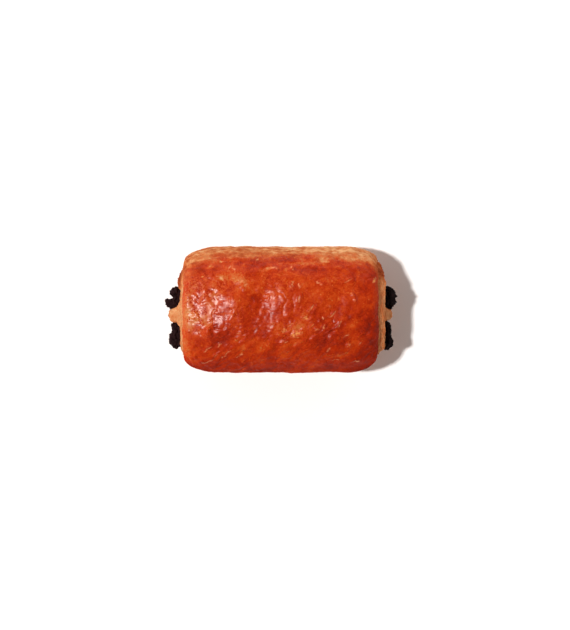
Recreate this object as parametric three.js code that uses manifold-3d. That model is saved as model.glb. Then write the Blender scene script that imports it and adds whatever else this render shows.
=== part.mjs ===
// Pain au chocolat: a sheet of laminated dough rolled round two chocolate batons, baked and egg-washed.
// Millimetres. +X runs along the roll, +Y to the side the roll turns away from, +Z up.
// The origin is the centre of the flat underside.
import * as THREE from "three";
import { mergeVertices } from "three/addons/utils/BufferGeometryUtils.js";
import Module from "manifold-3d";

const wasm = await Module();
wasm.setup();

// ---- Driving dimensions -------------------------------------------------------------------------

const CRUST_LENGTH = 99.6; // the outer turn, from cut edge to cut edge
const WIDTH = 65;
const HEIGHT = 44;

// The roll's cross-section is a superellipse about this centre line, clipped flat where it rests.
const COIL_Z = 18; // height of the widest line
const COIL_Y = -3; // the coil sits a little to one side, midway between the batons
const DOME_POWER = 2.35; // above the centre line
const BELLY_POWER = 2.9; // below it
const BELLY_DEPTH = 19.6; // below the centre line before the tray cuts it flat

// The cut ends: how far the roll pulls in at its rims.
const CORNER_PLAN = { along: 17, across: 8.5 }; // half axes of the rounded corner, seen from above
const CORNER_TOP = 4; // radius seen from the side
const CROWN = 4.5; // the top falls this much from mid-length to the rims, before they round over
const HEEL_LIFT = 1.4; // the underside curls up this much at the cut edges

// Inside the outer turn the dough coils down to a flat core, which holds the batons.
const CORE_HALF_WIDTH = 17;
const CORE_HALF_HEIGHT = 4.5;
const CORE_PROUD = 3.4; // the core swells past the crust's cut edge
const TONGUE = { width: 6.4, height: 13, reach: 57.6 }; // the fold between the batons

// The gap between turns of the sheet, seen as a groove in the cut ends.
const GROOVE_WIDTH = 1.1;
const GROOVE_DEPTH = 3.5;
const SEAM_ANGLE = THREE.MathUtils.degToRad(244); // where the sheet's outer edge tucks under
const OUTER_TURN = 0.44; // the outer turn's share of the way in to the core
const TURN_PITCH = 0.42; // how far in each further turn lies
const COIL_TURNS = 1.9;
const SEAM_DEPTH = 1.0;

// Each baton is a flat bar with a lumpy, scorched nugget past each cut end.
const BATON_Z = 21;
const BATON_THICKNESS = 5.4;
const BATON_CLEARANCE = 0.35; // all round, between a baton and its tunnel
const MOUTH = 52.6; // where a baton leaves the dough
const BATONS = [
  {
    name: "chocolate_baton_rear",
    y: 6,
    width: 11.4,
    left: { reach: 59.8, width: 11.8, thickness: 7.4, lump: 0.5, turn: 0.5 },
    right: { reach: 59.8, width: 12.2, thickness: 8.2, lump: 0.3, turn: 2.1 },
  },
  {
    name: "chocolate_baton_front",
    y: -13.3,
    width: 12.2,
    left: { reach: 57.8, width: 13.2, thickness: 7.2, lump: 0.45, turn: 3.4 },
    right: { reach: 58.2, width: 15.6, thickness: 6.8, lump: 0.35, turn: 4.6 },
  },
];

// ---- Geometry helpers ---------------------------------------------------------------------------

const TAU = 2 * Math.PI;
const smooth = THREE.MathUtils.smoothstep;
const signedPower = (v, p) => Math.sign(v) * Math.abs(v) ** p;

// A closed surface from rings of points and an end point at each side. Rings run counter-clockwise
// about the direction from the first ring to the last.
function closedLoft(start, rings, end) {
  const around = rings[0].length;
  const points = [start, ...rings.flat(), end];
  const at = (ring, k) => 1 + ring * around + (k % around);
  const faces = [];
  for (let k = 0; k < around; k++) {
    faces.push(0, at(0, k + 1), at(0, k));
    for (let r = 0; r + 1 < rings.length; r++) {
      faces.push(at(r, k), at(r, k + 1), at(r + 1, k + 1));
      faces.push(at(r, k), at(r + 1, k + 1), at(r + 1, k));
    }
    faces.push(points.length - 1, at(rings.length - 1, k), at(rings.length - 1, k + 1));
  }
  const geometry = new THREE.BufferGeometry();
  geometry.setAttribute("position", new THREE.Float32BufferAttribute(points.flatMap((p) => p.toArray()), 3));
  geometry.setIndex(faces);
  return geometry;
}

function toSolid(geometry) {
  geometry.deleteAttribute("normal");
  geometry.deleteAttribute("uv");
  const merged = mergeVertices(geometry, 1e-4);
  return new wasm.Manifold(
    new wasm.Mesh({
      numProp: 3,
      vertProperties: merged.attributes.position.array,
      triVerts: new Uint32Array(merged.index.array),
    }),
  );
}

function fromSolid(solid) {
  const { vertProperties, triVerts, numProp } = solid.getMesh();
  const geometry = new THREE.BufferGeometry();
  const interleaved = new THREE.InterleavedBuffer(vertProperties, numProp);
  geometry.setAttribute("position", new THREE.InterleavedBufferAttribute(interleaved, 3, 0));
  geometry.setIndex(new THREE.BufferAttribute(triVerts, 1));
  const loose = geometry.toNonIndexed();
  loose.computeVertexNormals();
  return loose;
}

// A flat outline in the Y-Z plane, extruded along X from x0 to x1.
function extrudeAlongX(shape, x0, x1, curveSegments = 12) {
  const geometry = new THREE.ExtrudeGeometry(shape, { depth: x1 - x0, bevelEnabled: false, curveSegments });
  // The shape's own x and y become Y and Z, and its depth becomes X.
  geometry.applyMatrix4(new THREE.Matrix4().makeBasis(
    new THREE.Vector3(0, 1, 0),
    new THREE.Vector3(0, 0, 1),
    new THREE.Vector3(1, 0, 0),
  ));
  return geometry.translate(x0, 0, 0);
}

// ---- The rolled dough ---------------------------------------------------------------------------

// The outer profile at an angle about the coil's centre line, before the tray flattens it.
function crustPoint(angle) {
  const c = Math.cos(angle);
  const s = Math.sin(angle);
  const power = 2 / (s > 0 ? DOME_POWER : BELLY_POWER);
  const rise = s > 0 ? HEIGHT - COIL_Z : BELLY_DEPTH;
  return [(WIDTH / 2) * signedPower(c, power), COIL_Z + rise * signedPower(s, power)];
}

// A point of the cross-section: depth 0 is the crust, and 1 is the core that holds the batons.
function sectionPoint(depth, angle) {
  const [y, z] = crustPoint(angle);
  const coreY = COIL_Y + CORE_HALF_WIDTH * signedPower(Math.cos(angle), 0.8);
  const coreZ = BATON_Z + CORE_HALF_HEIGHT * signedPower(Math.sin(angle), 0.8);
  return [THREE.MathUtils.lerp(y, coreY, depth), THREE.MathUtils.lerp(Math.max(z, 0), coreZ, depth)];
}

// How far a rounded corner pulls in, at a distance from the cut edge.
const cornerInset = (distance, along, across) =>
  across * (1 - Math.sqrt(1 - Math.max(0, 1 - distance / along) ** 2));

// The crust's ring at a station along the roll, rounded over towards the cut edges.
function crustRing(x, around) {
  const distance = CRUST_LENGTH / 2 - Math.abs(x);
  const narrow = 1 - cornerInset(distance, CORNER_PLAN.along, CORNER_PLAN.across) / (WIDTH / 2);
  const fall = cornerInset(distance, CORNER_TOP, CORNER_TOP) + CROWN * (x / (CRUST_LENGTH / 2)) ** 2;
  const low = 1 - fall / (HEIGHT - COIL_Z);
  const lift = HEEL_LIFT * smooth(4 - distance, 0, 4);
  return Array.from({ length: around }, (_, k) => {
    const [y, z] = crustPoint((TAU * k) / around);
    const height = z > COIL_Z ? COIL_Z + (z - COIL_Z) * low : Math.max(z, 0);
    return new THREE.Vector3(x, y * narrow, height + lift * (height < COIL_Z ? 1 - height / COIL_Z : 0));
  });
}

// A ring of the cut end face, from the crust's rim at depth 0 in to the core at depth 1.
function faceRing(side, depth, around) {
  const rim = crustRing(side * (CRUST_LENGTH / 2), around);
  return rim.map((edge, k) => {
    const [coreY, coreZ] = sectionPoint(1, (TAU * k) / around);
    const x = side * (CRUST_LENGTH / 2 + CORE_PROUD * smooth(depth, 0, 1));
    return new THREE.Vector3(
      x,
      THREE.MathUtils.lerp(edge.y, coreY, depth),
      THREE.MathUtils.lerp(edge.z, coreZ, depth),
    );
  });
}

function rolledDough() {
  const around = 68;
  const stations = 18;
  const faceSteps = [0.33, 0.67, 1];
  const body = Array.from({ length: stations + 1 }, (_, i) =>
    crustRing((CRUST_LENGTH / 2) * Math.sin(Math.PI * (i / stations - 0.5)), around));
  const face = (side) => faceSteps.map((depth) => faceRing(side, depth, around));
  const rings = [...face(-1).reverse(), ...body, ...face(1)];
  const centre = (side) => new THREE.Vector3(side * (CRUST_LENGTH / 2 + CORE_PROUD), COIL_Y, BATON_Z);
  return toSolid(closedLoft(centre(-1), rings, centre(1)));
}

// The fold of dough between the batons, which swells out past both of them.
function tongue() {
  const blob = new THREE.SphereGeometry(1, 24, 14);
  blob.rotateZ(Math.PI / 2);
  blob.scale(TONGUE.reach, TONGUE.width / 2, TONGUE.height / 2);
  // A power below 1 squares the long ellipsoid off, so that it stays a full tongue up to its ends.
  const position = blob.attributes.position;
  for (let i = 0; i < position.count; i++) {
    const along = position.getX(i) / TONGUE.reach;
    const girth = Math.max(1e-3, 1 - along ** 2) ** -0.32;
    position.setXYZ(i, position.getX(i), position.getY(i) * girth, position.getZ(i) * girth);
  }
  return toSolid(blob.translate(0, COIL_Y, BATON_Z));
}

// How deep the gap between turns lies, after an angle from the seam: the sheet's edge tapers in
// from the surface, and each further turn lies a pitch deeper.
const grooveDepthAt = (angle) => OUTER_TURN * smooth(angle, 0, 1.1) + (TURN_PITCH * Math.max(0, angle - TAU)) / TAU;

// The spiral gap between turns of the sheet, as a band of even width.
function grooveShape() {
  const steps = 64;
  const sweep = TAU * COIL_TURNS;
  const line = Array.from({ length: steps + 1 }, (_, i) => {
    const angle = (sweep * i) / steps;
    return new THREE.Vector2(...sectionPoint(grooveDepthAt(angle), SEAM_ANGLE + angle));
  });
  const offset = (i, distance) => {
    const tangent = line[Math.min(i + 1, steps)].clone().sub(line[Math.max(i - 1, 0)]).normalize();
    return line[i].clone().add(new THREE.Vector2(-tangent.y, tangent.x).multiplyScalar(distance));
  };
  const taper = (i) => (GROOVE_WIDTH / 2) * (1 - 0.7 * smooth(i, steps - 10, steps));
  const outside = line.map((_, i) => offset(i, taper(i)));
  const inside = line.map((_, i) => offset(i, -taper(i))).reverse();
  return new THREE.Shape([...outside, ...inside]);
}

function spiralGroove(side) {
  const bottom = CRUST_LENGTH / 2 - GROOVE_DEPTH;
  const top = TONGUE.reach + 2;
  const range = side > 0 ? [bottom, top] : [-top, -bottom];
  return toSolid(extrudeAlongX(grooveShape(), ...range));
}

// The line along the underside where the sheet's outer edge was pressed down.
function undersideSeam() {
  const [y] = sectionPoint(0, SEAM_ANGLE);
  const notch = new THREE.Shape([
    new THREE.Vector2(y - 0.9, -0.2),
    new THREE.Vector2(y + 0.9, -0.2),
    new THREE.Vector2(y + 0.25, SEAM_DEPTH),
  ]);
  return toSolid(extrudeAlongX(notch, -CRUST_LENGTH / 2 - 2, CRUST_LENGTH / 2 + 2));
}

function pastryGeometry() {
  let dough = rolledDough().add(tongue());
  for (const side of [-1, 1]) {
    dough = dough.subtract(spiralGroove(side));
  }
  dough = dough.subtract(undersideSeam());
  for (const baton of BATONS) {
    dough = dough.subtract(batonSolid(baton, BATON_CLEARANCE));
  }
  return fromSolid(dough);
}

// ---- The chocolate ------------------------------------------------------------------------------

// A baton's ring, at 0 where it leaves the dough and 1 at its tip: a plain bar inside the dough and a
// nugget outside it. It can be grown all round, to cut the tunnel that the baton lies in.
function batonRing(baton, side, out, grow) {
  const around = 24;
  const end = side > 0 ? baton.right : baton.left;
  const x = side * THREE.MathUtils.lerp(MOUTH, end.reach + grow, out);
  const swell = smooth(out, -0.05, 0.3);
  const round = out > 0.45 ? (1 - ((out - 0.45) / 0.55) ** 2.4) ** 0.5 : 1;
  const width = THREE.MathUtils.lerp(baton.width, end.width, swell) * round + 2 * grow;
  const thickness = THREE.MathUtils.lerp(BATON_THICKNESS, end.thickness, swell) * round + 2 * grow;
  return Array.from({ length: around }, (_, k) => {
    const angle = (TAU * k) / around;
    const knobs = Math.sin(3 * angle + end.turn + 2 * out) + 0.6 * Math.sin(5 * angle - 2 * end.turn - 5 * out);
    const lump = 1 + (swell * round * end.lump * knobs) / 9;
    return new THREE.Vector3(
      x,
      baton.y + (width / 2) * signedPower(Math.cos(angle), 0.62) * lump,
      BATON_Z + (thickness / 2) * signedPower(Math.sin(angle), 0.62) * lump,
    );
  });
}

function batonSolid(baton, grow = 0) {
  const nuggetSteps = [-0.06, 0.06, 0.18, 0.32, 0.46, 0.6, 0.73, 0.84, 0.92, 0.975];
  const nugget = (side) => nuggetSteps.map((out) => batonRing(baton, side, out, grow));
  const tip = (side, end) => new THREE.Vector3(side * (end.reach + grow), baton.y, BATON_Z);
  const rings = [...nugget(-1).reverse(), ...nugget(1)];
  return toSolid(closedLoft(tip(-1, baton.left), rings, tip(1, baton.right)));
}

// ---- The assembly -------------------------------------------------------------------------------

const glazedDough = new THREE.MeshStandardMaterial({ color: 0xbc421f, roughness: 0.3, metalness: 0 });
const scorchedChocolate = new THREE.MeshStandardMaterial({ color: 0x2a1a1a, roughness: 0.9, metalness: 0 });

function named(name, geometry, material) {
  const mesh = new THREE.Mesh(geometry, material);
  mesh.name = name;
  return mesh;
}

const painAuChocolat = new THREE.Group();
painAuChocolat.add(named("pastry", pastryGeometry(), glazedDough));
for (const baton of BATONS) {
  painAuChocolat.add(named(baton.name, fromSolid(batonSolid(baton)), scorchedChocolate));
}

export default painAuChocolat;
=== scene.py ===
"""Pain au chocolat: the visual model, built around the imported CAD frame.

The pastry and the two batons are meshes made here, on the same cross-section and coil as the CAD
solids. Shapes are worked out in millimetres and placed in metres.
"""

import math

import bmesh
import bpy
import numpy as np
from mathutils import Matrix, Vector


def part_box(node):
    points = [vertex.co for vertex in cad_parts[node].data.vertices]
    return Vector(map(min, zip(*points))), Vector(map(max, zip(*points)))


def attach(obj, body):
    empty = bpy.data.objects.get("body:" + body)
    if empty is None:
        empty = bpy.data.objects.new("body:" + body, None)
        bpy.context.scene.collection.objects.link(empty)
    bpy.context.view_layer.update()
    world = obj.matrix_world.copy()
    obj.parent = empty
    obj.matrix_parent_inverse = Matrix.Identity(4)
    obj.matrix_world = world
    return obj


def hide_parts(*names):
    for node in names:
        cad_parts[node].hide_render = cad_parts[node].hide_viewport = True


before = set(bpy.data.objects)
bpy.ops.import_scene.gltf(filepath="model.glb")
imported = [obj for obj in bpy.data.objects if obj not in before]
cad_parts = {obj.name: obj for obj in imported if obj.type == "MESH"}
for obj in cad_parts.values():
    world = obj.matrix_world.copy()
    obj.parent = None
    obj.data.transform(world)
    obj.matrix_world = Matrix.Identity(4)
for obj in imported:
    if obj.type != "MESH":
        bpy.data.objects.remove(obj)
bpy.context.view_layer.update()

# ---- Sizes, in millimetres, from the frame ----

MM = 0.001
pastry_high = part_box("pastry")[1] / MM
HALF_WIDTH = pastry_high.y
HEIGHT = pastry_high.z
TONGUE_REACH = pastry_high.x

# The cross-section and the coil, as the CAD part has them.
CRUST_HALF = 49.8
COIL_Z = 18.0
DOME_POWER = 2.35
BELLY_POWER = 2.9
BELLY_DEPTH = 19.6
CORNER_ALONG = 17.0
CORNER_ACROSS = 8.5
CORNER_TOP = 4.0
CROWN = 4.5
HEEL_LIFT = 1.4
CORE_Y = -3.0
CORE_Z = 21.0
CORE_HALF_WIDTH = 17.0
CORE_HALF_HEIGHT = 4.5
CORE_ROUNDNESS = 0.8
SEAM_ANGLE = math.radians(244)
OUTER_TURN = 0.44
TURN_PITCH = 0.42
MOUTH = 52.6
BATON_THICKNESS = 5.4
BATON_ROUNDNESS = 0.62
TUNNEL_GAP = 0.35

LEAVES_PER_TURN = 7

# The crust's slanting streaks, in degrees from X, and where it flakes and shows pale flecks.
STREAK_HEADING = 36
FLAKES_Y = 26.5
FLECKS_Y = 25.0

TAU = 2 * math.pi

# How finely each part of the surface is divided.
AROUND = 400
BODY_RINGS = 230
FACE_RINGS = 64
CORE_RINGS = 14
NUGGET_RINGS = 70
BATON_AROUND = 132
TUNNEL_AROUND = 28


# ---- Noise ----


def lattice_hash(cell, seed):
    """A well-mixed 32-bit number for each integer lattice point."""
    x, y, z = (cell[..., k].astype(np.int64).astype(np.uint32) for k in range(3))
    h = x * np.uint32(374761393) + y * np.uint32(668265263) + z * np.uint32(1442695041)
    h = h + np.uint32(seed * 974711 & 0xFFFFFFFF)
    h = (h ^ (h >> np.uint32(13))) * np.uint32(1274126177)
    h = (h ^ (h >> np.uint32(15))) * np.uint32(2246822519)
    return h ^ (h >> np.uint32(16))


def hash_bytes(h):
    """A hash's three lowest bytes, as the last axis of the result."""
    return np.stack([(h >> np.uint32(8 * k)) & np.uint32(255) for k in range(3)], -1)


def noise(points, size, seed=0):
    """Smooth gradient noise from about -1 to 1, with features of the given size."""
    q = np.asarray(points, float) / size
    cell = np.floor(q)
    f = q - cell
    u = f * f * f * (f * (f * 6 - 15) + 10)
    total = np.zeros(q.shape[:-1])
    for corner in range(8):
        step = np.array([corner & 1, corner >> 1 & 1, corner >> 2 & 1])
        h = lattice_hash(cell + step, seed)
        gradient = hash_bytes(h) / 127.5 - 1
        weight = np.prod(np.where(step, u, 1 - u), -1)
        total += weight * ((f - step) * gradient).sum(-1)
    return total * 1.45


def layered_noise(points, size, octaves, seed=0, gain=0.5):
    """Noise summed over octaves, each half the size of the last."""
    total, strength, norm = 0.0, 1.0, 0.0
    for octave in range(octaves):
        total = total + strength * noise(points, size / 2**octave, seed + octave * 17)
        norm += strength
        strength *= gain
    return total / norm


def nearest_cell(points, size, seed=0):
    """Distance to the nearest scattered point, as a share of size, and that point's random number."""
    q = np.asarray(points, float) / size
    cell = np.floor(q)
    best = np.full(q.shape[:-1], 9.0)
    luck = np.zeros(q.shape[:-1])
    for step in np.ndindex(3, 3, 3):
        near = cell + np.array(step) - 1
        h = lattice_hash(near, seed)
        spot = near + hash_bytes(h) / 255
        distance = np.linalg.norm(q - spot, axis=-1)
        closer = distance < best
        best = np.where(closer, distance, best)
        luck = np.where(closer, (h >> np.uint32(24)) / 255, luck)
    return best, luck


def smooth(v, low, high):
    """0 below low, 1 above high, and an eased rise between them."""
    t = np.clip((v - low) / (high - low), 0, 1)
    return t * t * (3 - 2 * t)


def bell(v, width):
    """1 where v is 0, falling away on both sides."""
    return np.exp(-((v / width) ** 2))


def lerp(a, b, t):
    return a + (b - a) * t


def signed_power(v, p):
    """A power that keeps the sign of v."""
    return np.sign(v) * np.abs(v) ** p


# ---- The rolled dough's plain shape ----


def crust_profile(angle):
    """Y and Z of the crust at mid-length, before the tray flattens it."""
    c, s = np.cos(angle), np.sin(angle)
    power = np.where(s > 0, 2 / DOME_POWER, 2 / BELLY_POWER)
    rise = np.where(s > 0, HEIGHT - COIL_Z, BELLY_DEPTH)
    return HALF_WIDTH * signed_power(c, power), COIL_Z + rise * signed_power(s, power)


def even_angles(count):
    """Angles that space the points evenly along the crust, and twice as widely on the underside."""
    fine = np.linspace(0, TAU, 20001)
    y, z = crust_profile(fine)
    z = np.maximum(z, 0)
    share = np.hypot(np.diff(y), np.diff(z)) * np.where(z[1:] < 1, 0.5, 1.0)
    along = np.concatenate([[0], np.cumsum(share)])
    return np.interp(np.arange(count) / count * along[-1], along, fine)


def corner_inset(distance, along, across):
    """How far a rounded corner pulls in, at a distance from the cut edge."""
    return across * (1 - np.sqrt(1 - np.clip(1 - distance / along, 0, 1) ** 2))


def crust_ring(x, angle):
    """The plain crust's points round the roll, at a place along it."""
    distance = CRUST_HALF - abs(x)
    y, z = crust_profile(angle)
    # At the rear corners the lower layers stand out past the glazed ones.
    squarer = (0.35 if x > 0 else 0.05) * smooth(22 - z, 0, 8) * (y > 0)
    narrow = 1 - corner_inset(distance, CORNER_ALONG, CORNER_ACROSS) * (1 - squarer) / HALF_WIDTH
    fall = corner_inset(distance, CORNER_TOP, CORNER_TOP) + CROWN * (x / CRUST_HALF) ** 2
    low = 1 - fall / (HEIGHT - COIL_Z)
    height = np.where(z > COIL_Z, COIL_Z + (z - COIL_Z) * low, np.maximum(z, 0))
    lift = HEEL_LIFT * smooth(4 - distance, 0, 4) * np.clip(1 - height / COIL_Z, 0, 1)
    return np.stack([np.full_like(y, x), y * narrow, height + lift], -1)


def core_ring(count, shrink=0.0):
    """Y and Z of the flat core's outline, shrunk towards its long axis.
    Point k faces point count - k across that axis."""
    angle = np.arange(count) / count * TAU
    half = CORE_HALF_WIDTH - CORE_HALF_HEIGHT * shrink
    y = CORE_Y + half * signed_power(np.cos(angle), CORE_ROUNDNESS)
    z = CORE_Z + CORE_HALF_HEIGHT * (1 - shrink) * signed_power(np.sin(angle), CORE_ROUNDNESS)
    return y, z


def body_stations():
    """Places along the roll, spaced evenly along its rounded outline."""
    x = np.sin(np.linspace(-1, 1, 8001) * math.pi / 2) * CRUST_HALF
    inset = corner_inset(CRUST_HALF - np.abs(x), CORNER_ALONG, CORNER_ACROSS)
    along = np.concatenate([[0], np.cumsum(np.hypot(np.diff(x), np.diff(inset)))])
    return np.interp(np.linspace(0, along[-1], BODY_RINGS), along, x)


# ---- The coil on the cut ends ----


def turns_in(depth, angle):
    """How many turns in from the crust a point of the cut end lies, and how far round the sheet."""
    round_from_seam = (angle - SEAM_ANGLE) % TAU
    first = np.maximum(OUTER_TURN * smooth(round_from_seam, 0, 1.1), 1e-3)
    second = OUTER_TURN + TURN_PITCH * round_from_seam / TAU
    turn = np.where(
        depth < first,
        depth / first,
        np.where(
            depth < second,
            1 + (depth - first) / (second - first),
            2 + (depth - second) / TURN_PITCH,
        ),
    )
    return turn, round_from_seam + TAU * np.floor(turn)


def leaf_relief(turn, along, y, z, seed):
    """The cut sheet's relief: thin leaves at uneven heights, split by gaps, and deep gaps between
    the turns. Returns the height in millimetres and how open the gaps are, from 0 to 1."""
    inside = turn % 1
    place = np.stack([y, z, turn * 3], -1)
    wander = 0.20 * noise(place, 6.0, seed + 5) + 0.05 * noise(place, 2.2, seed + 6)
    leaf_at = (inside + wander * np.sin(np.pi * inside)) * LEAVES_PER_TURN
    leaf = np.floor(leaf_at)
    across = leaf_at - leaf
    strip = np.stack([leaf * 7.7 + np.floor(turn) * 31, along * 2.2, leaf * 3.1], -1)
    height = 0.95 * noise(strip, 1.0, seed) + 0.45 * noise(strip, 0.35, seed + 3)
    ragged = noise(np.stack([y, z, leaf * 9], -1), 0.9, seed + 8)
    # Some leaves have fused, and others stand well apart.
    apart = 0.25 + 1.1 * smooth(noise(strip * [1, 0.6, 1] + 50, 1.0, seed + 9), -0.35, 0.55)
    edge = np.minimum(across, 1 - across) * 2
    gap = (1 - smooth(edge, 0.05, 0.6 + 0.2 * ragged)) * apart
    turn_gap = 1 - smooth(np.minimum(inside, 1 - inside) * np.where(turn < 2.6, 1, 4), 0.0, 0.085)
    relief = 0.75 * height + 0.25 * ragged - 0.65 * gap - 2.6 * turn_gap
    return relief, np.clip(np.maximum(gap * 0.8, turn_gap), 0, 1)


# The tongue of dough between the batons at each end: its half-width and its middle.
TONGUES = {-1: {"half": 3.9, "y": -2.8}, 1: {"half": 3.1, "y": -2.4}}
TONGUE_LIFT = 0.5


def tongue(y, z, side):
    """The dough that swells out between the batons, from 0 to 1, thinning away above and below."""
    above = z - CORE_Z - TONGUE_LIFT
    place = np.stack([y, z, 0 * y + side * 5], -1)
    ragged = 0.16 * noise(place, 2.6, seed=83) + 0.08 * noise(place, 1.1, seed=84)
    spread = TONGUES[side]["half"] * lerp(1.0, 2.4, smooth(np.abs(above), 2, 8))
    across = np.clip(1 - np.abs((y - TONGUES[side]["y"]) / spread + ragged) ** 6, 0, 1) ** 0.35
    return across * bell(above, 3.9)


# How the cut ends stand out past the crust's rim: by how much at the top, at the rear flank and at
# the front flank. The rise takes a share of the way in to the core, and another at the rear flank,
# where it holds to a depth of its own. Inside it the face settles to its inner height.
END_LEDGE = {
    -1: {
        "top": 0.7, "rear": 2.9, "front": 0.6, "inner": 1.4,
        "share": 0.12, "rear_share": 0.8, "to": 1.3,
    },
    1: {
        "top": 3.8, "rear": 3.2, "front": 1.8, "inner": 2.8,
        "share": 0.42, "rear_share": 0.42, "to": 0.44,
    },
}


def ledge(side, depth, angle):
    """How far the cut end stands past the rim, at a depth of 0 at the rim and 1 at the core."""
    end = END_LEDGE[side]
    rear = smooth(np.cos(angle), 0.55, 0.95) * (np.sin(angle) > -0.5)
    front = smooth(-np.cos(angle), 0.72, 0.98)
    out = lerp(lerp(end["top"], end["rear"], rear), end["front"], front)
    out = out * lerp(1.0, 0.3, smooth(-np.sin(angle), 0.2, 0.9))
    first = smooth(depth / lerp(end["share"], end["rear_share"], rear), 0, 1)
    settled = smooth(depth - lerp(OUTER_TURN, end["to"], rear), 0.0, 0.2)
    return lerp(out * first, end["inner"], settled)


def cut_face(side, depth, angle):
    """One ring of the cut end: depth is 0 at the rim, 1 at the core and 2 on the core's axis.
    Returns its points, how open the gaps are and how proud the leaves stand."""
    rim = crust_ring(side * CRUST_HALF, angle)
    y_core, z_core = core_ring(len(angle), shrink=max(0.0, depth - 1))
    inward = min(depth, 1.0)
    y = lerp(rim[:, 1], y_core, inward)
    z = lerp(rim[:, 2], z_core, inward)
    turn, along = turns_in(np.full_like(angle, inward), angle)
    relief, gap = leaf_relief(turn, along, y, z, 40 if side < 0 else 60)
    in_core = smooth(np.full_like(angle, depth), 0.85, 1.15)
    place = np.stack([y, z, 0 * y + side * 9], -1)
    crumb = 0.5 * noise(place * [0.3, 1, 1], 1.5, seed=90)
    crumb = crumb + 0.35 * noise(place, 1.3, seed=91) + 0.2 * noise(place, 0.6, seed=92)
    relief = lerp(relief, crumb, 0.7 * in_core)
    gap = gap * (1 - 0.7 * in_core)
    fold = tongue(y, z, side)
    settle = smooth(np.full_like(angle, inward), 0.0, 0.05)
    base = CRUST_HALF + ledge(side, depth, angle)
    reach = lerp(base, TONGUE_REACH - 0.2, fold)
    relief = relief * lerp(1.0, 0.5, fold) + fold * 1.1 * crumb
    x = side * (reach + relief * settle)
    return np.stack([x, y, z], -1), gap * settle * (1 - 0.5 * fold), np.clip(relief * settle, -1, 1)


# ---- The crust's relief ----


def along_crease(p, x, y, length, heading, bend=0.0):
    """Distance across, and share of the way along, a short crease on the top of the crust."""
    c, s = math.cos(math.radians(heading)), math.sin(math.radians(heading))
    dx, dy = p[:, 0] - x, p[:, 1] - y
    u = (dx * c + dy * s) / (length / 2)
    v = -dx * s + dy * c - bend * (1 - u * u)
    return v, u


# Torn creases that show pale dough, and, on the right half of the top, short narrow strokes that are
# painted glints: x, y, length, heading in degrees, bend, half-width.
PALE_CREASES_AND_GLINTS = [
    (-25.8, 21.2, 2.4, 60, 0.2, 0.24),
    (-24.0, 20.8, 3.2, -52, 0.2, 0.28),
    (-2.9, 21.0, 5.2, -16, 0.2, 0.24),
    (5.8, 20.8, 3.4, -62, 0.2, 0.18),
    (-19.5, 13.8, 2.6, 28, 0.4, 0.30),
    (-17.2, 12.2, 2.4, 58, 0.3, 0.24),
    (12.2, -5.0, 4.2, 4, 0.4, 0.44),
    (8.0, -12.6, 7.2, 17, 0.5, 0.80),
    (2.4, -10.2, 2.4, -34, 0.3, 0.44),
    (5.2, -8.0, 3.4, 22, 0.2, 0.18),
    (2.8, -16.4, 2.0, 20, 0.1, 0.18),
    (-20.6, -12.2, 3.8, -4, 0.3, 0.24),
    (-36.6, -20.4, 5.6, 36, 0.3, 0.20),
    (-27.4, -22.6, 7.2, 40, 0.3, 0.18),
    (-37.0, -26.0, 7.0, 16, -0.4, 0.18),
    (-32.6, -23.2, 2.8, 45, 0.1, 0.18),
    (-30.8, -18.2, 2.6, 40, 0.1, 0.20),
    (-20.8, -23.4, 4.2, 32, 0.2, 0.17),
    (15.6, 0.5, 5.2, 54, 0.2, 0.30),
    (9.6, 5.2, 4.0, 85, 0.2, 0.20),
    (5.0, 11.0, 3.4, -78, 0.2, 0.16),
    (9.4, 11.8, 2.6, -52, 0.1, 0.22),
    (24.6, 1.2, 1.6, -40, 0.1, 0.24),
    (26.6, -2.6, 5.6, 50, 0.3, 0.20),
    (21.4, -4.4, 1.8, -50, 0.1, 0.22),
    (22.2, -8.8, 2.6, 76, 0.2, 0.20),
    (18.6, -10.4, 2.8, 8, 0.2, 0.16),
    (29.6, -7.4, 4.4, 70, -0.4, 0.20),
    (33.0, -13.6, 3.4, 35, 0.2, 0.22),
    (34.4, -18.2, 2.8, 38, 0.1, 0.26),
    (40.3, -17.2, 1.8, 62, 0.1, 0.20),
    (35.9, 7.4, 2.4, -64, 0.1, 0.22),
    (37.1, 4.6, 1.6, -50, 0.1, 0.22),
    (24.4, -20.4, 2.6, 50, 0.1, 0.30),
    (28.0, -26.0, 4.0, 8, 0.2, 0.14),
    (38.2, -26.4, 4.4, 14, 0.2, 0.12),
    (6.6, 12.8, 3.2, 84, 0.5, 0.16),
    (-11.8, 25.4, 2.2, 80, 0.1, 0.16),
    (48.0, 14.8, 3.6, 48, 0.2, 0.42),
    (34.2, 14.3, 4.6, 28, 0.3, 0.14),
    (19.4, 12.8, 4.4, -34, 0.2, 0.14),
]

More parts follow.
